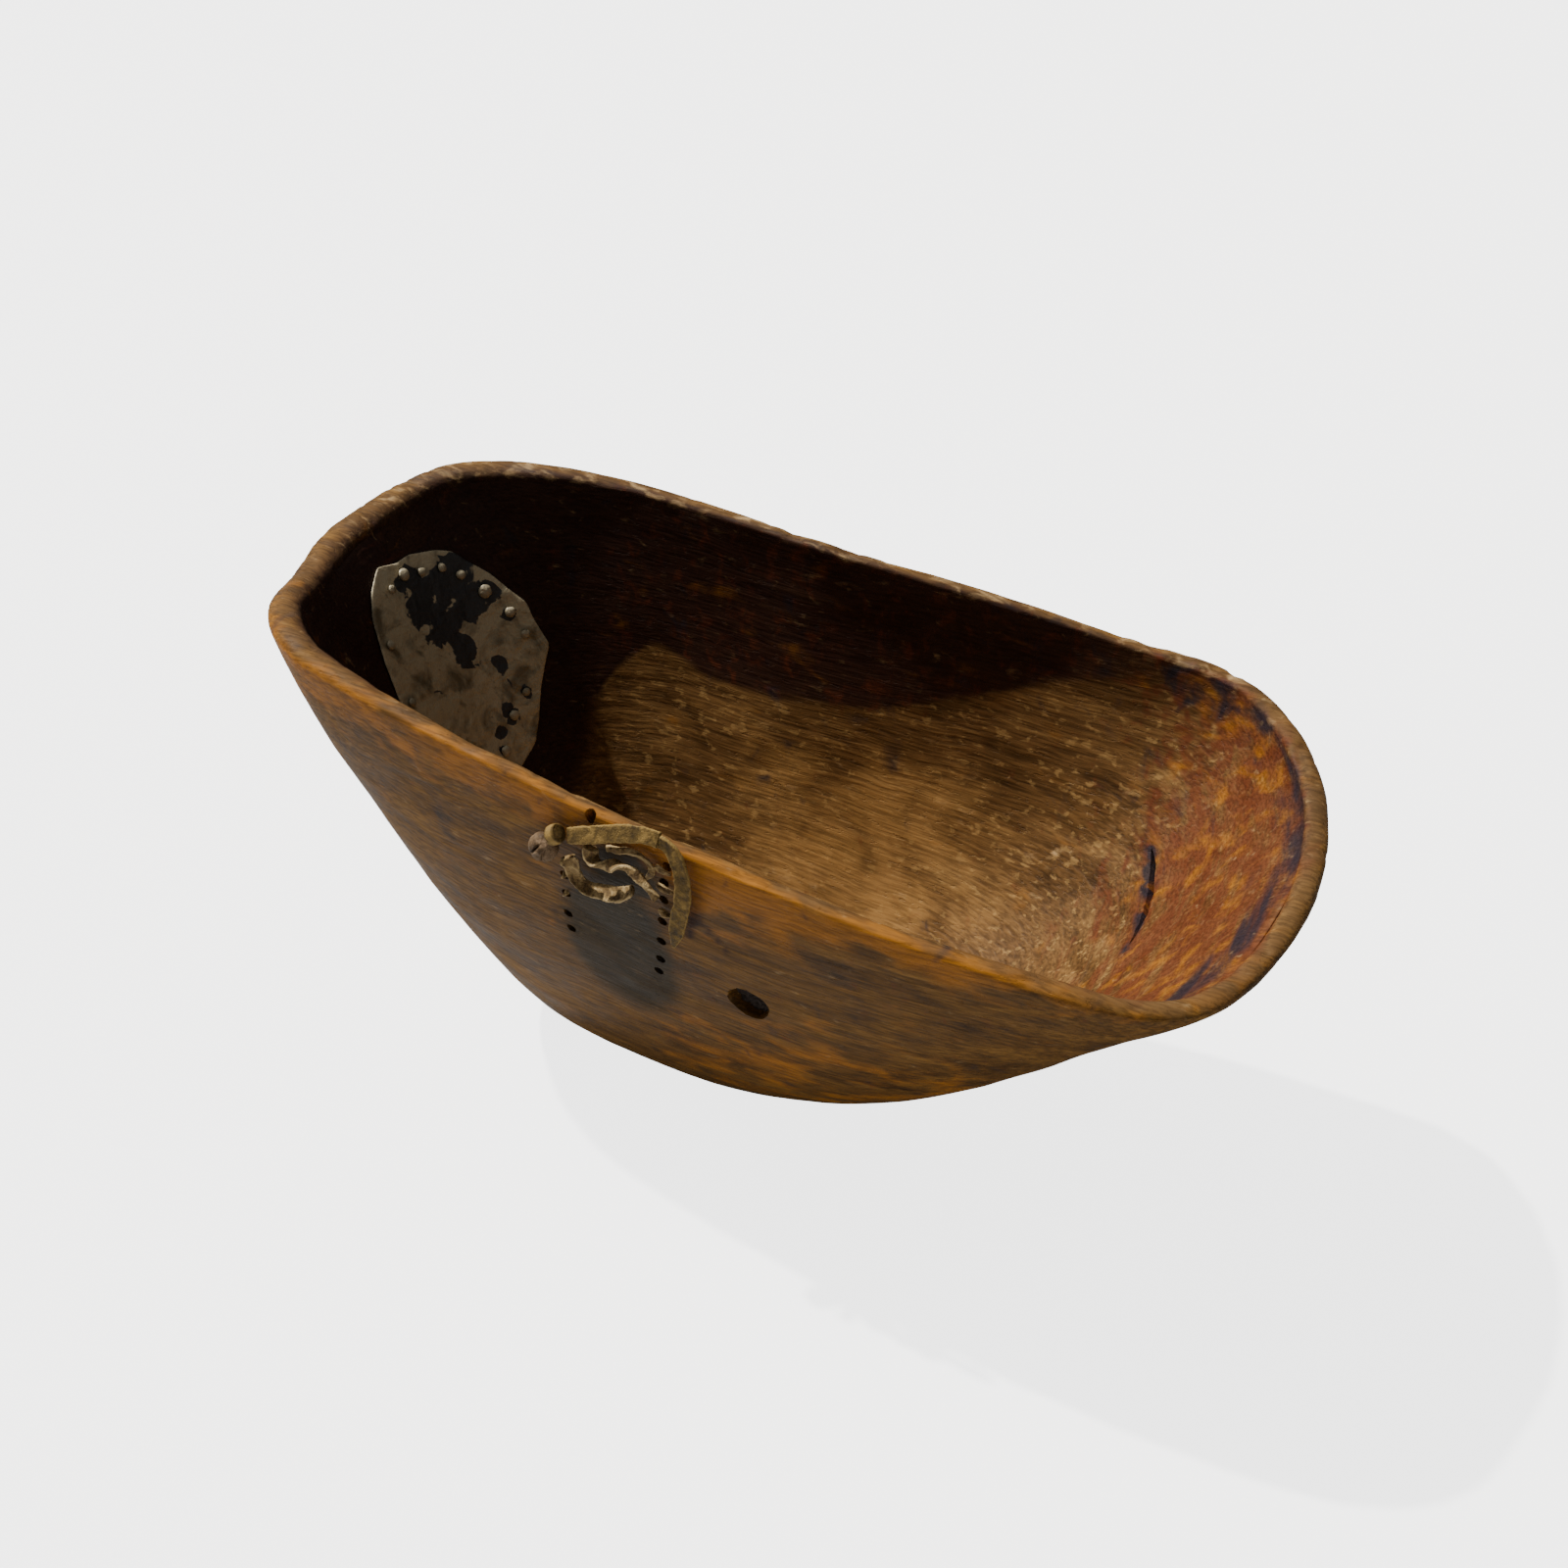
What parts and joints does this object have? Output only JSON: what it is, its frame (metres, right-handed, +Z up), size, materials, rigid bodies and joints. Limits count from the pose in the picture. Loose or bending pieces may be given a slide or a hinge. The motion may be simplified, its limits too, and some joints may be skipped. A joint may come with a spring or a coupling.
{
  "type": "carved wooden feed scoop bowl",
  "caption": "Deep hand-carved oblong wooden feed scoop with a thick prow, a low pouring lip, a nailed mending plate inside and the remains of a leather carrying thong.",
  "frame": {"origin": "on the flat worn foot under the bowl", "axes": "+X toward the pouring lip and along the bowl, -Y toward the wall that carries the leather, +Z up"},
  "size_m": [0.4518, 0.2189, 0.2124],
  "materials": {
    "bowl_wood": "hand-carved hardwood, dark with age and handling, dull outside and oily in the hollow",
    "peg_wood": "broken end grain, nearly black",
    "plate_pewter": "hammered grey sheet metal with black patches and a dull sheen",
    "tack_pewter": "domed hand-made tack heads, dull grey",
    "leather": "dry olive-brown leather with worn edges",
    "rawhide": "pale twisted rawhide, frayed"
  },
  "bodies": {
    "scoop": {"bowl": "bowl_wood", "peg_stub": "peg_wood", "mending_plate": "plate_pewter", "tack_01": "tack_pewter", "tack_02": "tack_pewter", "tack_03": "tack_pewter", "tack_04": "tack_pewter", "tack_05": "tack_pewter", "tack_06": "tack_pewter", "tack_07": "tack_pewter", "tack_08": "tack_pewter", "tack_09": "tack_pewter", "tack_10": "tack_pewter", "tack_11": "tack_pewter", "tack_12": "tack_pewter", "tack_13": "tack_pewter", "tack_14": "tack_pewter", "tack_15": "tack_pewter", "stitch_stub_1": "rawhide", "stitch_stub_2": "rawhide", "stitch_stub_3": "rawhide", "hole_stub_1": "rawhide", "hole_stub_2": "rawhide", "rawhide_twist": "rawhide", "rawhide_lace": "rawhide", "thong_knot": "leather", "thong_collar": "leather", "strap_run": "leather", "thong_tongue": "leather"},
    "tail": {"strap_tail": "leather"}
  },
  "joints": [
    {"name": "tail_swing", "type": "hinge", "parent": "scoop", "child": "tail", "pos_m": [0.0656, -0.1113, 0.1991], "axis": [-1, 0, 0], "range_deg": [0, 75]}
  ]
}
